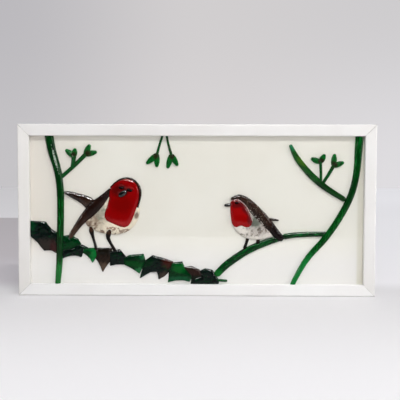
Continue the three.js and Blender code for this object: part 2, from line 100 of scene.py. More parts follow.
class Value:
    """A number that varies over a surface: its operators add Math nodes."""

    def __init__(self, nodes: "Nodes", socket: bpy.types.NodeSocket) -> None:
        """Wrap a socket of a node tree."""
        self.nodes = nodes
        self.socket = socket

    def _math(self, operation: str, first: "Value | float", second: "Value | float") -> "Value":
        """Add a Math node for one operation on two values."""
        node = self.nodes.add("ShaderNodeMath", {"operation": operation}, {0: first, 1: second})
        return Value(self.nodes, node.outputs[0])

    def __add__(self, other: "Value | float") -> "Value":
        """Return the sum."""
        return self._math("ADD", self, other)

    def __radd__(self, other: float) -> "Value":
        """Return the sum with a number on the left."""
        return self._math("ADD", other, self)

    def __sub__(self, other: "Value | float") -> "Value":
        """Return the difference."""
        return self._math("SUBTRACT", self, other)

    def __rsub__(self, other: float) -> "Value":
        """Return a number less this value."""
        return self._math("SUBTRACT", other, self)

    def __mul__(self, other: "Value | float") -> "Value":
        """Return the product."""
        return self._math("MULTIPLY", self, other)

    def __rmul__(self, other: float) -> "Value":
        """Return the product with a number on the left."""
        return self._math("MULTIPLY", other, self)

    def __abs__(self) -> "Value":
        """Return the value without its sign."""
        return self._math("ABSOLUTE", self, 0.0)

    def step(self, low: float, high: float) -> "Value":
        """Turn the value into a mask.

        Args:
            low: Where the mask is 0.
            high: Where the mask is 1.

        Returns:
            A mask that runs smoothly between the two.
        """
        settings = {"interpolation_type": "SMOOTHSTEP"}
        inputs = {"Value": self, "From Min": low, "From Max": high}
        node = self.nodes.add("ShaderNodeMapRange", settings, inputs)
        return Value(self.nodes, node.outputs[0])


Input = Value | bpy.types.NodeSocket | float | Sequence[float]


class Nodes:
    """The node tree of one material, with what the finishes need to fill it."""

    def __init__(self, tree: bpy.types.NodeTree) -> None:
        """Empty a tree and give it the place that the patterns read."""
        self.tree = tree
        self.tree.nodes.clear()
        self.place = self.add("ShaderNodeTexCoord", {}, {}).outputs["Object"]

    @classmethod
    def of_material(cls, name: str) -> tuple["Nodes", bpy.types.Material]:
        """Make a material of that name with an empty tree."""
        material = bpy.data.materials.new(name)
        material.use_nodes = True
        return cls(material.node_tree), material

    def add(self, kind: str, settings: Mapping[str, object],
            inputs: Mapping[int | str, Input]) -> bpy.types.Node:
        """Add a node.

        Args:
            kind: The node's type.
            settings: Its properties, which are set first.
            inputs: Its sockets' values or links, by name or number.

        Returns:
            The node.
        """
        node = self.tree.nodes.new(kind)
        for name, value in settings.items():
            setattr(node, name, value)
        for key, value in inputs.items():
            source = value.socket if isinstance(value, Value) else value
            if isinstance(source, bpy.types.NodeSocket):
                self.tree.links.new(source, node.inputs[key])
            else:
                node.inputs[key].default_value = source
        return node

    def noise(self, size: float, detail: float = 2.0, stretch: Sequence[float] = (1, 1, 1),
              turn: float = 0.0, warp: float = 0.0) -> Value:
        """Add a noise pattern.

        Args:
            size: The size of its blobs in metres.
            detail: Its octaves.
            stretch: How many times longer the blobs are along X, Y and Z, before the turn.
            turn: Degrees by which it is turned in the picture's plane.
            warp: Its distortion.

        Returns:
            The pattern, about 0.5 on average.
        """
        scale = [1 / (size * share) for share in stretch]
        turned = self.add("ShaderNodeMapping", {"vector_type": "TEXTURE"}, {
            "Vector": self.place, "Rotation": (0, math.radians(-turn), 0)})
        scaled = self.add("ShaderNodeMapping", {}, {"Vector": turned.outputs[0], "Scale": scale})
        node = self.add("ShaderNodeTexNoise", {}, {
            "Vector": scaled.outputs[0], "Scale": 1.0, "Detail": detail, "Distortion": warp})
        return Value(self, node.outputs[0])

    def axes(self, place: bpy.types.NodeSocket | None = None) -> list[Value]:
        """Return the X, Y and Z of a place, or of the spot on the surface when none is given."""
        node = self.add("ShaderNodeSeparateXYZ", {}, {"Vector": place or self.place})
        return [Value(self, output) for output in node.outputs]

    def depth(self) -> Value:
        """Return how far a place stands out from the glass sheet, in millimetres."""
        return (GLASS_FRONT - self.axes()[1]) * (1 / MM)

    def spot(self, middle: Vector, across: float, up: float, ragged: float = 0.35,
             turn: float = 0.0) -> Value:
        """Add a soft oval mask.

        Args:
            middle: Its middle.
            across: Its half width in metres.
            up: Its half height in metres.
            ragged: How far its edge wanders.
            turn: Degrees by which it is turned in the picture's plane.

        Returns:
            The mask, 1 in the middle and 0 outside.
        """
        turned = self.add("ShaderNodeMapping", {"vector_type": "TEXTURE"}, {
            "Vector": self.place, "Location": middle, "Rotation": (0, math.radians(-turn), 0)})
        flat = self.add("ShaderNodeMapping", {}, {
            "Vector": turned.outputs[0], "Scale": (1 / across, 0, 1 / up)})
        length = self.add("ShaderNodeVectorMath", {"operation": "LENGTH"}, {0: flat.outputs[0]})
        edge = Value(self, length.outputs["Value"]) + (self.noise(4 * MM) - 0.5) * (2 * ragged)
        return 1 - edge.step(0.5, 1.25)

    def blend(self, under: Input, over: Input, mask: Value) -> bpy.types.NodeSocket:
        """Lay one colour over another where a mask says so.

        Args:
            under: The colour below.
            over: The colour above.
            mask: Where it lies, 0 to 1.

        Returns:
            The mixed colour.
        """
        def solid(colour: Input) -> Input:
            """Give a plain colour its fourth number."""
            return (*colour, 1.0) if isinstance(colour, tuple) else colour

        node = self.add("ShaderNodeMix", {"data_type": "RGBA"}, {
            0: mask, 6: solid(under), 7: solid(over)})
        return node.outputs[2]

    def bump(self, height: Value, depth: float) -> bpy.types.NodeSocket:
        """Return a normal for a relief of that depth in metres."""
        node = self.add("ShaderNodeBump", {}, {"Strength": 1.0, "Distance": depth, "Height": height})
        return node.outputs[0]

    def surface(self, settings: Mapping[str, Input]) -> None:
        """Finish a material with one Principled shader.

        Args:
            settings: The shader's sockets and their values or links.
        """
        shader = self.add("ShaderNodeBsdfPrincipled", {}, settings)
        self.add("ShaderNodeOutputMaterial", {}, {"Surface": shader.outputs[0]})


@dataclass(frozen=True)
class Patch:
    """A soft area of another colour on a piece of glass, placed in shares of the piece's box."""

    across: float
    up: float
    width: float
    height: float
    colour: Colour
    strength: float = 1.0
    turn: float = 0.0
    ragged: float = 0.35
    grain: float = 0.0


@dataclass(frozen=True)
class Streaks:
    """Stringers and smoke drawn out in the glass."""

    colour: Colour
    size: float
    length: float
    turn: float
    share: float
    warp: float = 1.5


@dataclass(frozen=True)
class StainedGlass:
    """Coloured glass, lighter where it is thin at its edges."""

    core: Colour
    edge: Colour
    thick: float = 2.2
    streaks: tuple[Streaks, ...] = ()
    patches: tuple[Patch, ...] = ()
    gloss: float = 0.07
    shine: float = 0.16
    ripple: float = 0.00003
    ripple_size: float = 0.006

    def material(self, name: str, box: Box) -> bpy.types.Material:
        """Make the material for one piece.

        Args:
            name: The material's name.
            box: The piece's lowest and highest corner.

        Returns:
            The material.
        """
        nodes, material = Nodes.of_material(name)
        low, high = box
        size = high - low
        height = nodes.depth() + (nodes.noise(7 * MM) - 0.5) * 1.2
        colour = nodes.blend(self.edge, self.core, height.step(0.25 * self.thick, self.thick))
        for streak in self.streaks:
            pattern = nodes.noise(streak.size, 3, (streak.length, 1, 1), streak.turn, streak.warp)
            edge = 0.5 + 0.28 * (0.5 - streak.share)
            colour = nodes.blend(colour, streak.colour, pattern.step(edge - 0.03, edge + 0.05))
        for patch in self.patches:
            middle = Vector((low.x + patch.across * size.x, 0, low.z + patch.up * size.z))
            mask = nodes.spot(middle, patch.width * size.x / 2, patch.height * size.z / 2,
                              patch.ragged, patch.turn)
            if patch.grain:
                edge = 1.15 - 0.25 * patch.strength
                mask = 0.85 * (nodes.noise(patch.grain, 2) + 0.5 * mask).step(edge - 0.09, edge + 0.09)
            else:
                mask = mask * patch.strength
            colour = nodes.blend(colour, patch.colour, mask)
        wave = nodes.noise(self.ripple_size, 1)
        nodes.surface({
            "Base Color": colour,
            "Roughness": (nodes.noise(9 * MM) * self.gloss) + 0.5 * self.gloss,
            "IOR": 1.5,
            "Specular IOR Level": self.shine,
            "Normal": nodes.bump(wave, self.ripple),
        })
        return material


@dataclass(frozen=True)
class OpalGlass:
    """The cream sheet: opaque, glossy and very slightly wavy from the kiln, with painted shade at its ends
    and a painted reflection at its foot.
    """

    cream: Colour = display(240, 238, 227)
    cloud: Colour = display(237, 234, 222)
    # Whiter along the foot: a painted reflection of the white table.
    painted_table_reflection: Colour = display(238, 236, 231)
    # The darker left end is painted shade, and the darker right end a painted shadow of the rail's lip.
    painted_shade_left: Colour = display(234, 228, 217)
    shaded_end: Colour = display(226, 223, 208)
    left_shade_run: tuple[float, float] = (-0.26, -0.12)
    reflection_run: tuple[float, float] = (0.04, 0.09)
    shade_run: tuple[float, float] = (0.2325, 0.237)

    def material(self, name: str) -> bpy.types.Material:
        """Return the sheet's material."""
        nodes, material = Nodes.of_material(name)
        across, _, up = nodes.axes()
        colour = nodes.blend(self.cream, self.cloud, nodes.noise(90 * MM).step(0.35, 0.7))
        # Painted shade towards the left end.
        colour = nodes.blend(self.painted_shade_left, colour, across.step(*self.left_shade_run))
        # Painted reflection of the table along the foot.
        colour = nodes.blend(self.painted_table_reflection, colour, up.step(*self.reflection_run))
        # Painted shadow of the right rail's lip along the right end.
        colour = nodes.blend(colour, self.shaded_end, across.step(*self.shade_run))
        wave = nodes.noise(45 * MM, 1)
        nodes.surface({
            "Base Color": colour,
            "Roughness": 0.03 + 0.03 * nodes.noise(20 * MM),
            "IOR": 1.52,
            "Coat Weight": 0.8,
            "Coat Roughness": 0.03,
            "Normal": nodes.bump(wave, 0.00004),
        })
        return material


@dataclass(frozen=True)
class WhitePaint:
    """Satin white paint over wood, with faint brush marks and a line at each mitre."""

    white: Colour = display(239, 237, 234)
    worn: Colour = display(236, 233, 229)
    open_seam: Colour = display(148, 144, 138)
    filled_seam: Colour = display(204, 201, 196)
    seam_wander: float = 1.6 * MM
    seam_run: tuple[float, float] = (0.15 * MM, 0.75 * MM)

    def material(self, name: str, along: Sequence[float]) -> bpy.types.Material:
        """Make the paint of one rail.

        Args:
            name: The material's name.
            along: How many times longer the brush marks are along X, Y and Z.

        Returns:
            The material.
        """
        nodes, material = Nodes.of_material(name)
        drag = nodes.noise(0.5 * MM, 3, along)
        colour = nodes.blend(self.white, self.worn, nodes.noise(70 * MM, 2).step(0.4, 0.75))
        across, _, up = nodes.axes()
        from_side = FRAME_HIGH.x - abs(across)
        from_end = FRAME_HIGH.z / 2 - abs(up - FRAME_HIGH.z / 2)
        seam = nodes.blend(self.open_seam, self.filled_seam, across.step(-0.1, 0.1))
        joint = abs(from_side - from_end) + (nodes.noise(4 * MM) - 0.4) * self.seam_wander
        colour = nodes.blend(seam, colour, joint.step(*self.seam_run))
        nodes.surface({
            "Base Color": colour,
            "Roughness": 0.4 + 0.12 * drag,
            "IOR": 1.48,
            "Specular IOR Level": 0.16,
            "Normal": nodes.bump(drag, 0.00002),
        })
        return material


@dataclass(frozen=True)
class Hardboard:
    """Plain brown board with short fibres pressed in."""

    brown: Colour = display(140, 106, 74)
    dark: Colour = display(110, 80, 54)

    def material(self, name: str) -> bpy.types.Material:
        """Return the board's material."""
        nodes, material = Nodes.of_material(name)
        fibre = nodes.noise(0.7 * MM, 4, (4, 1, 1), 30)
        patchy = nodes.noise(30 * MM, 2)
        colour = nodes.blend(self.brown, self.dark, (0.75 * fibre + 0.25 * patchy).step(0.38, 0.64))
        nodes.surface({
            "Base Color": colour,
            "Roughness": 0.72 + 0.15 * fibre,
            "Normal": nodes.bump(fibre, 0.00006),
        })
        return material


@dataclass(frozen=True)
class SpringSteel:
    """Thin rolled steel with fine lines along the roll."""

    steel: Colour = display(176, 177, 180)
    dull: Colour = display(140, 140, 142)

    def material(self, name: str) -> bpy.types.Material:
        """Return the tabs' material."""
        nodes, material = Nodes.of_material(name)
        lines = nodes.noise(0.15 * MM, 2, (20, 1, 1))
        colour = nodes.blend(self.steel, self.dull, nodes.noise(3 * MM).step(0.45, 0.7))
        nodes.surface({
            "Base Color": colour,
            "Metallic": 1.0,
            "Roughness": 0.25 + 0.2 * lines,
            "Normal": nodes.bump(lines, 0.000005),
        })
        return material


FRIT = 7 * MM
WAVY = 0.09 * MM
LEAF_RIPPLE = 0.003
LEAF_SHINE = 0.11
CALM: Mapping[str, float] = {"wobble": 0.1 * MM, "wobble_size": 9 * MM}
CHARCOAL = display(10, 24, 20)
BLACK = display(6, 7, 6)
LEAF_GREEN = display(0, 50, 18)
BRIGHT_GREEN = display(4, 66, 24)
BROWN = display(44, 24, 16)
DEEP_BROWN = display(28, 16, 10)


def leaf_glass(core: Colour, edge: Colour, *streaks: Streaks) -> StainedGlass:
    """Return a leaf's glass, which is wavier and less shiny than a stem's."""
    return StainedGlass(core, edge, streaks=streaks, shine=LEAF_SHINE, ripple=WAVY,
                        ripple_size=LEAF_RIPPLE)


class Glass(Enum):
    """The stock of coloured glass that the picture is made from."""

    LEFT_STEM = StainedGlass(display(4, 54, 10), display(30, 132, 52), streaks=(
        Streaks(display(0, 40, 8), 2.6 * MM, 12, 88, 0.3),
        Streaks(display(14, 106, 40), 2 * MM, 14, 91, 0.25)))
    RIGHT_STEM = StainedGlass(display(0, 60, 10), display(30, 146, 64), streaks=(
        Streaks(display(0, 46, 12), 2.6 * MM, 12, 80, 0.22),
        Streaks(display(10, 106, 36), 2 * MM, 14, 84, 0.26)))
    UPPER_BRANCH = StainedGlass(display(26, 80, 30), display(44, 124, 50), streaks=(
        Streaks(display(8, 36, 8), 2.4 * MM, 10, -45, 0.35),))
    PERCH = StainedGlass(display(2, 50, 18), display(24, 112, 46), streaks=(
        Streaks(display(4, 22, 6), 2.6 * MM, 8, 25, 0.4),
        Streaks(display(12, 104, 40), 1.6 * MM, 12, 22, 0.22)))
    SPRIG = StainedGlass(display(12, 74, 30), display(40, 112, 56), thick=1.6, shine=0.1, streaks=(
        Streaks(display(34, 52, 24), 3 * MM, 3, 70, 0.35, 1),))
    BUD = StainedGlass(display(8, 94, 32), display(44, 142, 66), thick=3.4, shine=0.05, streaks=(
        Streaks(display(14, 34, 16), 1.6 * MM, 3, 60, 0.3),))
    CHARCOAL_LEAF = leaf_glass(
        CHARCOAL, display(20, 40, 32),
        Streaks(BLACK, 2.2 * MM, 5, 12, 0.4, 2), Streaks(LEAF_GREEN, 4 * MM, 3, 20, 0.12))
    GREEN_LEAF = leaf_glass(
        LEAF_GREEN, display(20, 104, 54), Streaks(display(0, 30, 10), 3 * MM, 4, 15, 0.4, 2))
    BRIGHT_LEAF = leaf_glass(
        BRIGHT_GREEN, display(30, 124, 66), Streaks(display(0, 56, 22), 3 * MM, 3, 40, 0.3, 2))
    BROWN_LEAF = leaf_glass(
        display(38, 26, 18), display(74, 54, 44), Streaks(display(18, 14, 10), 2.4 * MM, 4, 70, 0.4, 2))
    ROBIN_BACK = StainedGlass(BROWN, display(62, 42, 32), ripple=0.0001, ripple_size=0.0022, streaks=(
        Streaks(DEEP_BROWN, 1.8 * MM, 10, 50, 0.5, 0.6),
        Streaks(display(62, 34, 26), 1.4 * MM, 12, 50, 0.2, 0.6)))
    TWIG_LEG = StainedGlass(
        display(20, 16, 14), display(40, 30, 26), thick=1.2, shine=0.07, gloss=0.16,
        patches=(Patch(0.3, 0.88, 0.9, 0.24, display(58, 36, 24), 0.9, 0, 0.4),))
    BEAD = StainedGlass(BLACK, BLACK, gloss=0.04, shine=0.2)
    EYE = StainedGlass(display(20, 2, 4), display(52, 4, 6), gloss=0.3, shine=0.02)


@dataclass
class FusedPicture:
    """The glass picture: each cut solid softened as the kiln leaves it."""

    voxel: float = 0.44 * MM
    swell: float = 0.34 * MM
    seat: float = 2.6 * MM
    tuck: float = 1.3 * MM
    near: float = 0.08 * MM
    thread_radius: float = 0.55 * MM
    thread_out: float = 2.9 * MM

    def soften(self, node: str, wobble: float = 0.12 * MM, wobble_size: float = 5 * MM,
               rounds: int = 8, plump: float = 0.0, slump: int = 0,
               crest: float = 0.0) -> bpy.types.Object:
        """Model a piece of glass over its solid, with the kiln's round edges.

        Args:
            node: The solid's node.
            wobble: How far its surface rises and falls.
            wobble_size: The size of those swells.
            rounds: How often it is smoothed.
            plump: How much further than the others it swells.
            slump: How often its height alone is smoothed, which domes it.
            crest: How far its round top is drawn up.

        Returns:
            The piece.
        """
        low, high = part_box(node)
        piece = edit_copy(f"fused_{node}", node)
        self.move_where(piece, lambda place: place.y > high.y - self.near, (0, self.seat, 0))
        for side, push in self.tucked_sides(low, high):
            self.move_where(piece, side, push)
        for share in CREST_LEVELS if crest else ():
            level = low.z + share * (high.z - low.z)
            self.move_where(piece, lambda place: place.z > level, (0, 0, crest / len(CREST_LEVELS)))
        bpy.ops.object.mode_set(mode="OBJECT")
        remesh = piece.modifiers.new("Voxels", "REMESH")
        remesh.mode = "VOXEL"
        remesh.voxel_size = self.voxel
        swell = piece.modifiers.new("Swell", "DISPLACE")
        swell.mid_level = 0
        swell.strength = self.swell + plump
        smooth = piece.modifiers.new("Smooth", "SMOOTH")
        smooth.factor = 0.5
        smooth.iterations = rounds
        if slump:
            dome = piece.modifiers.new("Slump", "SMOOTH")
            dome.factor = 0.8
            dome.iterations = slump
            dome.use_x = dome.use_z = False
        texture = bpy.data.textures.new(f"kiln_wobble_{node}", "CLOUDS")
        texture.noise_scale = wobble_size
        wave = piece.modifiers.new("Wobble", "DISPLACE")
        wave.texture = texture
        wave.texture_coords = "LOCAL"
        wave.mid_level = 0.5
        wave.strength = 2 * wobble
        for modifier in list(piece.modifiers):
            bpy.ops.object.modifier_apply(modifier=modifier.name)
        bpy.ops.object.shade_smooth()
        return piece

    def tucked_sides(self, low: Vector, high: Vector
                     ) -> list[tuple[Callable[[Vector], bool], Sequence[float]]]:
        """List the ends that run on behind the frame's lip.

        Args:
            low: The solid's lowest corner.
            high: The solid's highest corner.

        Returns:
            For each end, a test of a place on it and the way it is pushed.
        """
        reach = 0.5 * MM
        sides: list[tuple[Callable[[Vector], bool], Sequence[float]]] = []
        if high.z > SIGHT_HIGH.z - reach:
            sides.append((lambda place: place.z > high.z - self.near, (0, 0, self.tuck)))
        if low.z < SIGHT_LOW.z + reach:
            sides.append((lambda place: place.z < low.z + self.near, (0, 0, -self.tuck)))
        if low.x < SIGHT_LOW.x + reach:
            sides.append((lambda place: place.x < low.x + self.near, (-self.tuck, 0, 0)))
        if high.x > SIGHT_HIGH.x - reach:
            sides.append((lambda place: place.x > high.x - self.near, (self.tuck, 0, 0)))
        return sides

    @staticmethod
    def move_where(piece: bpy.types.Object, test: Callable[[Vector], bool],
                   push: Sequence[float]) -> None:
        """Push the part of a mesh in edit mode that passes a test."""
        bpy.ops.mesh.select_all(action="DESELECT")
        bpy.ops.object.mode_set(mode="OBJECT")
        for vertex in piece.data.vertices:
            vertex.select = test(vertex.co)
        bpy.ops.object.mode_set(mode="EDIT")
        bpy.ops.transform.translate(value=push)

    def lay(self, node: str, glass: StainedGlass, slot: str, **shape: float) -> None:
        """Model, dress and report one fused piece.

        Args:
            node: The solid's node.
            glass: What it is cut from.
            slot: Not used.
            **shape: The options of soften.
        """
        piece = self.soften(node, **shape)
        piece.data.materials.append(glass.material(f"{node}_glass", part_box(node)))
        finish_piece(piece, node)

    def build(self) -> None:
        """Lay the whole picture."""
        self.stems()
        self.garland()
        self.mistletoe()
        self.left_robin()
        self.right_robin()

    def stems(self) -> None:
        """Lay the stems and branches."""
        left = replace(Glass.LEFT_STEM.value, patches=(
            Patch(0.5, 0.8, 2.5, 0.5, display(2, 44, 14), 0.75, 0, 0.5),
            Patch(0.56, 0.86, 0.16, 0.2, display(2, 16, 6), 0.85, 10, 0.5),
            Patch(0.6, 0.25, 2.5, 0.16, display(4, 34, 12), 0.6, 0, 0.5),
            # The pale grainy streak near the top is a painted highlight.
            Patch(0.58, 0.84, 0.15, 0.26, display(168, 188, 168), 0.8, 14, 0.5, 2 * MM),
            Patch(0.6, 0.03, 2.5, 0.24, display(34, 116, 50), 0.65, 0, 0.5)))
        right = replace(Glass.RIGHT_STEM.value, patches=(
            Patch(0.9, 0.62, 1.2, 0.3, display(2, 42, 10), 0.8, 0, 0.5),
            Patch(0.1, 0.06, 1.0, 0.34, display(22, 126, 56), 0.7, 0, 0.5)))
        self.lay("left_stem", left, "stem_green_glass", wobble_size=2.5 * MM)
        self.lay("right_stem", right, "stem_green_glass", wobble_size=2.5 * MM)
        upper = replace(Glass.UPPER_BRANCH.value, patches=(
            Patch(0.03, 0.98, 0.2, 0.2, display(26, 124, 76), 0.8, 0, 0.5),
            Patch(0.26, 0.74, 0.26, 0.3, display(64, 100, 24), 0.7, 0, 0.5),
            Patch(0.75, 0.22, 0.7, 0.6, display(4, 44, 10), 0.8, 0, 0.5)))
        self.lay("upper_branch", upper, "branch_green_glass")
        perch = replace(Glass.PERCH.value, patches=(
            Patch(0.02, 0.03, 0.28, 0.34, display(18, 104, 36), 0.75, 0, 0.4),))
        self.lay("perch_branch", perch, "branch_green_glass")
        self.lay("perch_twig", Glass.PERCH.value, "branch_green_glass")

    def garland(self) -> None:
        """Lay the ivy garland."""
        charcoal, green = "leaf_charcoal_glass", "leaf_green_glass"
        black_to_brown = replace(Glass.CHARCOAL_LEAF.value, patches=(
            Patch(0.6, 0.24, 0.9, 0.5, display(48, 40, 36), 0.8, 0, 0.6),
            Patch(0.88, 0.14, 0.34, 0.56, display(54, 26, 26), 0.85, 0, 0.6),
            Patch(0.08, 0.85, 0.24, 0.36, display(0, 56, 26), 0.85, 0, 0.5)))
        brown_top = replace(Glass.CHARCOAL_LEAF.value, patches=(
            Patch(0.86, 0.72, 0.42, 0.5, display(60, 22, 16), 0.8, -20, 0.6),
            Patch(0.3, 0.7, 0.3, 0.3, display(4, 40, 16), 0.8, 30, 0.6),
            Patch(0.75, 0.1, 0.4, 0.5, display(62, 52, 46), 0.9, 0, 0.5)))
        lit = replace(Glass.BRIGHT_LEAF.value, patches=(
            Patch(0.8, 0.6, 0.6, 0.9, display(6, 108, 44), 0.85, 0, 0.6),
            Patch(0.5, 0.15, 0.9, 0.4, display(20, 112, 54), 0.85, 0, 0.6),
            Patch(0.4, 0.66, 0.5, 0.3, display(2, 40, 12), 0.8, 0, 0.5)))
        dusky = replace(Glass.GREEN_LEAF.value, patches=(
            Patch(0.5, 0.5, 1.0, 0.36, display(0, 62, 18), 0.9, -8, 0.5),
            Patch(0.3, 0.76, 0.7, 0.24, display(0, 28, 10), 0.85, -8, 0.5),
            Patch(0.86, 0.86, 0.3, 0.3, display(22, 84, 48), 0.8, 0, 0.5),
            Patch(0.72, 0.16, 0.5, 0.34, display(36, 104, 60), 0.8, 0, 0.5)))
        banded = replace(Glass.GREEN_LEAF.value, patches=(
            Patch(0.5, 0.7, 0.7, 0.5, display(4, 84, 26), 0.9, 0, 0.5),
            Patch(0.4, 0.12, 1.2, 0.4, display(22, 82, 50), 0.8, 0, 0.5)))
        brown_tip = replace(Glass.BROWN_LEAF.value, patches=(
            Patch(0.5, 0.16, 0.8, 0.5, display(84, 68, 56), 0.9, 0, 0.5),
            Patch(0.4, 0.86, 1.2, 0.3, display(14, 14, 8), 0.8, 0, 0.5)))
        maroon = replace(Glass.BROWN_LEAF.value, patches=(
            Patch(0.6, 0.5, 0.9, 0.7, display(40, 16, 12), 0.6, 0, 0.5),
            Patch(0.6, 0.14, 1.1, 0.4, display(12, 22, 14), 0.85, 0, 0.5)))
        leaves = {
            1: (black_to_brown, charcoal), 2: (Glass.GREEN_LEAF.value, green),
            3: (Glass.CHARCOAL_LEAF.value, charcoal), 4: (lit, green),
            5: (brown_tip, "leaf_brown_glass"), 6: (Glass.CHARCOAL_LEAF.value, charcoal),
            7: (dusky, green), 8: (brown_top, charcoal), 9: (banded, green),
            10: (maroon, "leaf_brown_glass"),
            11: (Glass.CHARCOAL_LEAF.value, charcoal),
        }
        for number, (glass, slot) in leaves.items():
            self.lay(f"ivy_leaf_{number:02d}", glass, slot, wobble=0.32 * MM,
                     wobble_size=5 * MM, rounds=12, plump=0.1 * MM, slump=150)
        self.lay("ivy_tendril", Glass.SPRIG.value, "sprig_green_glass")

    def mistletoe(self) -> None:
        """Lay the sprigs of mistletoe."""
        joints = {
            "left_long": (0.3, 0.2), "left_short": (0.75, 0.3), "top_left": (0.78, 0.85),
            "top_right": (0.46, 0.85), "right_upright": (0.7, 0.25), "right_leaning": (0.2, 0.2),
        }
        for name, (across, up) in joints.items():
            bud = replace(Glass.BUD.value, patches=(
                Patch(across, up, 0.6, 0.66, display(34, 32, 16), 0.95, 0, 0.4),))
            stout = 0.5 * MM if name.startswith("left") else 0.1 * MM
            self.lay(f"sprig_{name}_stalk", Glass.SPRIG.value, "sprig_green_glass", rounds=5, plump=stout)
            self.lay(f"sprig_{name}_leaves", bud, "sprig_green_glass", rounds=5, plump=0.8 * MM, slump=20)

    def left_robin(self) -> None:
        """Lay the robin that faces the viewer."""
        red = StainedGlass(
            display(136, 2, 4), display(160, 16, 20), thick=3.2,
            patches=(
                Patch(0.5, 0.02, 1.3, 0.3, display(152, 26, 28), 0.9),
                Patch(0.46, 0.78, 0.56, 0.3, display(78, 6, 6), 0.9),
                Patch(0.5, 0.5, 0.7, 0.44, display(112, 2, 0), 0.7),
            ))
        cream = StainedGlass(
            display(228, 218, 196), display(214, 202, 180), patches=(
                Patch(0.12, 0.45, 0.6, 0.9, display(176, 162, 142), 0.7, 0, 0.5),
                Patch(0.12, 0.4, 0.56, 0.8, display(136, 116, 98), 0.6, 0, 0.5, FRIT),
                Patch(0.1, 0.4, 0.4, 0.8, display(96, 74, 60), 0.4, 0, 0.5, 5 * MM),
                Patch(0.28, 0.6, 0.2, 0.5, display(146, 146, 130), 0.65, -10, 0.6),
                Patch(0.33, 0.5, 0.2, 0.7, display(140, 148, 130), 0.3, -10, 0.5, FRIT),
                Patch(0.5, 0.12, 0.4, 0.24, display(140, 104, 84), 0.5, 0, 0.6, 3.6 * MM),
                Patch(0.3, 0.02, 0.6, 0.26, display(116, 88, 70), 0.5, 0, 0.6, 5 * MM),
                Patch(0.7, 0.07, 0.6, 0.2, display(128, 102, 86), 0.46, 12, 0.6, 5 * MM),
                Patch(0.95, 0.5, 0.09, 0.2, display(112, 92, 78), 0.9, -15, 0.3),
            ))
        dark_wing = replace(Glass.ROBIN_BACK.value, shine=0.3, patches=(
            Patch(0.7, 0.2, 0.6, 0.7, display(50, 34, 24), 0.7, 0, 0.5),
            Patch(0.3, 0.7, 0.8, 0.4, display(22, 12, 8), 0.7, -20, 0.6)))
        dark_back = replace(Glass.ROBIN_BACK.value, patches=(
            Patch(0.6, 0.56, 0.5, 0.4, display(26, 12, 8), 0.9, 0, 0.5),
            Patch(0.8, 0.86, 0.4, 0.3, display(20, 8, 8), 0.8, 0, 0.5),
            Patch(0.12, 0.12, 0.4, 0.4, display(66, 48, 38), 0.8, 0, 0.5)))
        brown = "robin_brown_glass"
        self.lay("left_robin_belly", cream, "robin_white_glass", slump=200)
        rough = {"wobble": 0.3 * MM, "wobble_size": 2.5 * MM, "slump": 40}
        self.lay("left_robin_wing", dark_wing, brown, **rough)
        self.lay("left_robin_back", dark_back, brown, **rough)
        rim = replace(Glass.ROBIN_BACK.value, core=display(40, 14, 10), edge=display(58, 26, 20), shine=0.1)
        self.lay("left_robin_crown", rim, brown, plump=-0.25 * MM, slump=60)
        self.lay("left_robin_breast", red, "robin_red_glass", slump=160, crest=2.4 * MM, **CALM)
        bright_bead = replace(Glass.BEAD.value, shine=0.6)
        self.lay("left_robin_beak", bright_bead, "black_glass", rounds=4, plump=0.45 * MM)
        for number in (1, 2):
            self.lay(f"left_robin_eye_{number}", Glass.EYE.value, "black_glass", rounds=4, slump=60)
        for number in (1, 2):
            self.lay(f"left_robin_leg_{number}", Glass.TWIG_LEG.value, "black_glass", rounds=5)

    def right_robin(self) -> None:
        """Lay the robin on the perch."""
        red = StainedGlass(
            display(150, 8, 10), display(166, 24, 28), thick=3.2,
            patches=(
                Patch(0.5, 0.34, 0.8, 0.26, display(140, 0, 0), 0.8),
                Patch(0.34, 0.84, 0.5, 0.3, display(92, 8, 14), 0.8, 20),
                Patch(0.3, 0.86, 0.8, 0.3, display(88, 12, 14), 0.7),
                Patch(0.7, 0.66, 0.34, 0.8, display(84, 12, 16), 0.85, 38),
                Patch(0.92, 0.26, 0.36, 0.4, display(84, 16, 20), 0.85, 10),
                Patch(0.76, 0.68, 0.22, 0.9, display(206, 150, 146), 0.14, 38, 0.4, 2 * MM),
            ))
        white = StainedGlass(
            display(224, 218, 208), display(206, 200, 190), patches=(
                Patch(0.6, 0.74, 0.36, 0.7, display(94, 108, 98), 0.75, 30, 0.5, FRIT),
                Patch(0.66, 0.45, 0.7, 0.7, display(168, 160, 152), 0.7, 0, 0.5),
                Patch(0.62, 0.5, 0.7, 0.7, display(118, 112, 106), 0.5, 0, 0.5, FRIT),
                Patch(0.5, 0.3, 1.0, 0.6, display(150, 144, 140), 0.4, 0, 0.5, FRIT),
                Patch(0.66, 0.36, 0.6, 0.4, display(74, 68, 60), 0.3, 0, 0.5, 6 * MM),
                Patch(0.57, 0.76, 0.26, 0.62, display(92, 100, 88), 0.8, 18, 0.5),
                Patch(0.76, 0.36, 0.38, 0.5, display(98, 84, 70), 0.6, 0, 0.5, 3.4 * MM),
                Patch(0.4, 0.2, 0.7, 0.26, display(128, 122, 110), 0.4, 0, 0.5, 3.8 * MM),
                Patch(0.2, 0.4, 0.24, 0.4, display(160, 178, 152), 0.3, 0, 0.5, FRIT),
            ))
        brown = "robin_brown_glass"
        self.lay("right_robin_belly", white, "robin_white_glass", slump=140)
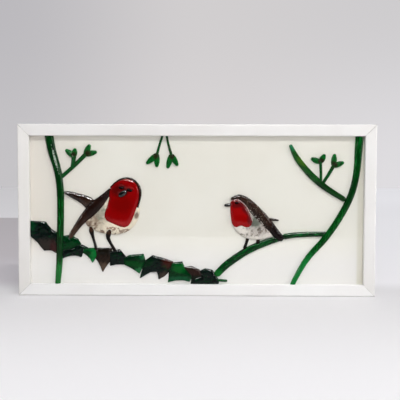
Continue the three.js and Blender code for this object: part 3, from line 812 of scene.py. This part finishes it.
        mottled_with_painted_glints = replace(Glass.ROBIN_BACK.value, patches=(
            Patch(0.9, 0.1, 0.6, 0.6, display(14, 6, 6), 1, 0, 0.5),
            Patch(0.5, 0.45, 0.24, 1.0, display(26, 12, 8), 0.85, 42, 0.5),
            # The three speckled pale patches below are painted glints, standing in for sparkle on the back.
            Patch(0.53, 0.42, 0.13, 1.2, display(226, 218, 210), 0.22, 42, 0.5, 2 * MM),
            Patch(0.65, 0.6, 0.1, 0.9, display(206, 198, 190), 0.14, 42, 0.5, 2 * MM),
            Patch(0.45, 0.58, 0.5, 1.2, display(112, 98, 82), 0.08, 42, 0.5, 1.6 * MM)))
        self.lay("right_robin_wing_tip", replace(mottled_with_painted_glints, shine=0.06, gloss=0.16), brown, rounds=4)
        self.lay("right_robin_back", mottled_with_painted_glints, brown, wobble=0.55 * MM, wobble_size=2 * MM, slump=40,
                 plump=0.2 * MM)
        self.lay("right_robin_breast", red, "robin_red_glass", slump=200, **CALM)
        self.thread()
        self.lay("right_robin_beak", Glass.BEAD.value, "black_glass", rounds=4)
        self.lay("right_robin_eye", Glass.EYE.value, "black_glass", rounds=4)
        for number in (1, 2):
            self.lay(f"right_robin_leg_{number}", Glass.TWIG_LEG.value, "black_glass", rounds=4)

    def thread(self) -> None:
        """Lay the thin pale thread in the groove between the right robin's breast and its back."""
        low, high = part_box("right_robin_breast")
        size = high - low
        curve = bpy.data.curves.new("fused_right_robin_thread", "CURVE")
        curve.dimensions = "3D"
        curve.bevel_depth = self.thread_radius
        curve.bevel_resolution = 3
        curve.use_fill_caps = True
        spline = curve.splines.new("NURBS")
        course = ((0.1, 0.97), (0.25, 1.03), (0.43, 0.985), (0.645, 0.85),
                  (0.82, 0.66), (0.955, 0.41), (1.03, 0.2))
        spline.points.add(len(course) - 1)
        for point, (across, up) in zip(spline.points, course):
            point.co = (low.x + across * size.x, GLASS_FRONT - self.thread_out, low.z + up * size.z, 1)
            point.radius = 0.7 + 0.6 * math.sin(math.pi * across)
        spline.use_endpoint_u = True
        spline.order_u = 4
        piece = bpy.data.objects.new("fused_right_robin_thread", curve)
        bpy.context.scene.collection.objects.link(piece)
        select_only(piece)
        bpy.ops.object.convert(target="MESH")
        piece = bpy.context.object
        bpy.ops.object.shade_smooth()
        pale = StainedGlass(display(226, 200, 196), display(214, 176, 172), streaks=(
            Streaks(display(150, 40, 40), 1.6 * MM, 3, 40, 0.3),))
        piece.data.materials.append(pale.material("right_robin_thread_glass", (low, high)))
        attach(piece, "root")
        LOG.info("%s: %d faces in the groove", piece.name, len(piece.data.polygons))


@dataclass
class BoxFrame:
    """The white frame and what it holds."""

    softening: float = 0.45 * MM
    facets: int = 3
    flat_angle: float = 1
    edge_angle: float = 50
    smooth_angle: float = 32
    brush_length: float = 30
    tabs: int = 6
    sides: tuple[str, ...] = ("top", "bottom", "left", "right")

    def build(self) -> None:
        """Model the rails and dress the sheet, the board and the tabs."""
        for side in self.sides:
            self.rail(side)
        dress_node("glass_base_sheet", OpalGlass().material("cream_opal_glass"))
        dress_node("backing_board", Hardboard().material("hardboard"))
        steel = SpringSteel().material("spring_steel")
        for number in range(1, self.tabs + 1):
            dress_node(f"spring_tab_{number}", steel)

    def rail(self, side: str) -> None:
        """Model one rail over its solid, with its long edges eased by the paint.

        Args:
            side: Which side of the frame it is.
        """
        node = f"frame_{side}_rail"
        piece = edit_copy(f"painted_{side}_rail", node)
        bpy.ops.mesh.dissolve_limited(angle_limit=math.radians(self.flat_angle))
        bpy.ops.object.mode_set(mode="OBJECT")
        bevel = piece.modifiers.new("Eased edges", "BEVEL")
        bevel.width = self.softening
        bevel.segments = self.facets
        bevel.limit_method = "ANGLE"
        bevel.angle_limit = math.radians(self.edge_angle)
        bpy.ops.object.modifier_apply(modifier=bevel.name)
        bpy.ops.object.shade_smooth_by_angle(angle=math.radians(self.smooth_angle))
        along = (self.brush_length, 1, 1) if side in ("top", "bottom") else (1, 1, self.brush_length)
        # The left rail's paint is darker, painted shade, and the bottom rail's lighter, painted light.
        lit_and_shaded_paints = {
            "left": WhitePaint(display(232, 229, 225), display(229, 226, 221)),
            "bottom": WhitePaint(display(241, 240, 238), display(238, 236, 234)),
        }
        paint = lit_and_shaded_paints.get(side, WhitePaint())
        piece.data.materials.append(paint.material(f"white_paint_{side}", along))
        finish_piece(piece, node)


def select_only(piece: bpy.types.Object) -> None:
    """Make one object the only selected one, and the active one."""
    bpy.ops.object.select_all(action="DESELECT")
    piece.select_set(True)
    bpy.context.view_layer.objects.active = piece


def edit_copy(name: str, node: str) -> bpy.types.Object:
    """Copy a solid for modelling, with its doubled points merged.

    Args:
        name: The new piece's name.
        node: The solid's node.

    Returns:
        The piece, in edit mode.
    """
    piece = bpy.data.objects.new(name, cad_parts[node].data.copy())
    bpy.context.scene.collection.objects.link(piece)
    piece.data.materials.clear()
    select_only(piece)
    bpy.ops.object.mode_set(mode="EDIT")
    bpy.ops.mesh.select_all(action="SELECT")
    bpy.ops.mesh.remove_doubles(threshold=MERGE)
    return piece


def finish_piece(piece: bpy.types.Object, node: str) -> None:
    """Hand a finished piece over: it rides, stands for its node and is reported.

    Args:
        piece: The finished piece.
        node: The node that it stands for.
    """
    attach(piece, "root")
    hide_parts(node)
    LOG.info("%s: %d faces over %s", piece.name, len(piece.data.polygons), node)


def dress_node(node: str, material: bpy.types.Material) -> None:
    """Give a solid that stays its finish."""
    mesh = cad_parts[node].data
    mesh.materials.clear()
    mesh.materials.append(material)
    LOG.info("%s: dressed in %s", node, material.name)


@dataclass
class Studio:
    """The floor, the light and the camera. None of it belongs to the panel."""

    reach: float = 9.0
    table_edge: float = -0.8165
    behind: tuple[float, float] = (0.01, 0.1)
    right_run: tuple[float, float] = (-0.3, 0.4)
    left_run: tuple[float, float] = (0.2, 0.42)
    far_run: tuple[float, float] = (1.5, 1.56)
    table_run: tuple[float, float] = (-0.42, 0.0)
    sky_reach: float = 0.36
    paper: Colour = display(252, 250, 252)
    # Painted shadow on the floor left of and behind the panel.
    painted_shadow_near: Colour = display(216, 211, 215)
    painted_shadow_left: Colour = display(208, 202, 205)
    glow_left: Colour = (0.06, 0.055, 0.05)
    glow_right: Colour = (0.24, 0.24, 0.25)
    # The table is darker near the panel: painted shade.
    table_near: Colour = display(230, 228, 229)
    table_front: Colour = display(248, 246, 247)
    sky_tones: tuple[Colour, Colour, Colour] = (
        display(187, 185, 189), display(209, 206, 207), display(206, 204, 206))
    horizon_tones: tuple[Colour, Colour, Colour] = (
        display(197, 195, 198), display(218, 214, 215), display(223, 221, 224))
    gloss_dim: Colour = (0.06, 0.055, 0.05)
    gloss_bright: Colour = (3.0, 3.0, 3.1)
    ambient: float = 0.54
    ambient_tint: tuple[float, float, float, float] = (0.96, 0.97, 1.0, 1.0)
    eye: tuple[float, float, float] = (0.0116, -0.8175, 0.1718)
    half_view: float = 20
    tilt_down: float = 2.26
    lean: float = -0.16
    swing: float = 0.48

    def build(self) -> None:
        """Set the stage."""
        self.floor()
        self.sky()
        middle = Vector((0.02, 0, 0.14))
        self.lamp("Key", (0.4, -1.6, 1.85), (1.0, 0.12), 22.5, middle)
        self.lamp("Side", (3.0, -1.1, 0.9), (1.4, 1.4), 26, middle)
        glints = {
            "Strip_above": ((0.1, -1.1, 1.55), (1.5, 0.05), 100),
            "Strip_left": ((-1.2, -0.85, 0.5), (0.05, 0.5), 6),
            "Strip_right": ((1.3, -0.85, 0.5), (0.05, 0.5), 9),
        }
        for name, (place, size, power) in glints.items():
            self.lamp(name, place, size, power, middle).visible_diffuse = False
        self.camera()

    def floor(self) -> None:
        """Lay the pale floor, white in front and backdrop grey behind the panel, with a painted shadow left
        of the panel and a glowing far part.
        """
        bpy.ops.object.select_all(action="DESELECT")
        middle = (self.reach + self.table_edge) / 2
        bpy.ops.mesh.primitive_plane_add(size=self.reach - self.table_edge, location=(0, middle, 0))
        floor = bpy.context.object
        floor.name = "floor"
        bpy.ops.object.transform_apply()
        nodes, material = Nodes.of_material("floor")
        across, along, _ = nodes.axes()
        rightward = across.step(*self.right_run)
        # Left of the panel the floor behind is darker, a painted shadow that ends far back.
        left = nodes.blend(self.painted_shadow_near, self.painted_shadow_left, along.step(*self.left_run))
        left = nodes.blend(left, self.paper, along.step(*self.far_run))
        paper = nodes.blend(left, self.paper, rightward)
        # Painted shade: the table darker towards the panel.
        table = nodes.blend(self.table_front, self.table_near, along.step(*self.table_run))
        colour = nodes.blend(table, paper, along.step(*self.behind))
        # Far behind, the floor glows: painted light, though it is no lamp.
        far = 0.5 * along.step(0, 1.6) + 0.5 * along.step(1, 4)
        glow = nodes.blend((0.0, 0.0, 0.0), nodes.blend(self.glow_left, self.glow_right, rightward), far)
        nodes.surface({
            "Base Color": colour,
            "Roughness": 0.8,
            "Specular IOR Level": 0.0,
            "Emission Color": glow,
            "Emission Strength": 1.0,
        })
        floor.data.materials.append(material)

    def sky(self) -> None:
        """Fill the studio with soft light: plain to look at, dim in gloss but for one ceiling panel."""
        world = bpy.data.worlds.new("studio")
        bpy.context.scene.world = world
        world.use_nodes = True
        nodes = Nodes(world.node_tree)
        path = nodes.add("ShaderNodeLightPath", {}, {})
        way = nodes.add("ShaderNodeTexCoord", {}, {}).outputs["Generated"]
        across, forward, up = nodes.axes(way)

        def sweep(tones: tuple[Colour, Colour, Colour]) -> bpy.types.NodeSocket:
            """Run from the left tone by the middle one to the right one."""
            left, middle, right = tones
            half = nodes.blend(left, middle, across.step(-self.sky_reach, 0.0))
            return nodes.blend(half, right, across.step(0.0, self.sky_reach))

        seen = nodes.blend(sweep(self.horizon_tones), sweep(self.sky_tones), up.step(0.0, 0.3))
        ceiling = up.step(0.72, 0.76) * (1 - up.step(0.92, 0.95)) * (1 - forward.step(-0.1, 0.1))
        glossy = nodes.blend(self.gloss_dim, self.gloss_bright, ceiling)
        backdrop = nodes.add("ShaderNodeBackground", {}, {"Color": seen})
        ambient = nodes.add("ShaderNodeBackground", {}, {
            "Color": self.ambient_tint, "Strength": self.ambient})
        mirrored = nodes.add("ShaderNodeBackground", {}, {"Color": glossy})
        soft = nodes.add("ShaderNodeMixShader", {}, {
            0: path.outputs["Is Glossy Ray"], 1: ambient.outputs[0], 2: mirrored.outputs[0]})
        mixed = nodes.add("ShaderNodeMixShader", {}, {
            0: path.outputs["Is Camera Ray"], 1: soft.outputs[0], 2: backdrop.outputs[0]})
        nodes.add("ShaderNodeOutputWorld", {}, {"Surface": mixed.outputs[0]})

    @staticmethod
    def lamp(name: str, place: Sequence[float], size: tuple[float, float], power: float,
             target: Vector) -> bpy.types.Object:
        """Hang a soft box.

        Args:
            name: The lamp's name.
            place: Where it hangs.
            size: Its width and height.
            power: Its power in watts.
            target: What it points at.

        Returns:
            The lamp.
        """
        light = bpy.data.lights.new(name, "AREA")
        light.shape = "RECTANGLE"
        light.size, light.size_y = size
        light.energy = power
        lamp = bpy.data.objects.new(name, light)
        bpy.context.scene.collection.objects.link(lamp)
        lamp.location = place
        lamp.rotation_euler = (target - Vector(place)).to_track_quat("-Z", "Y").to_euler()
        return lamp

    def camera(self) -> None:
        """Set up the camera where the photograph was taken."""
        data = bpy.data.cameras.new("camera")
        data.sensor_width = 36
        data.lens = data.sensor_width / 2 / math.tan(math.radians(self.half_view))
        camera = bpy.data.objects.new("camera", data)
        bpy.context.scene.collection.objects.link(camera)
        camera.location = self.eye
        turn = (90 - self.tilt_down, self.lean, self.swing)
        camera.rotation_euler = [math.radians(angle) for angle in turn]
        bpy.context.scene.camera = camera
        bpy.context.scene.view_settings.view_transform = "Standard"


def main() -> None:
    """Build the panel and its stage."""
    logging.basicConfig(level=logging.INFO, format="%(message)s")
    BoxFrame().build()
    FusedPicture().build()
    Studio().build()


if __name__ == "__main__":
    main()
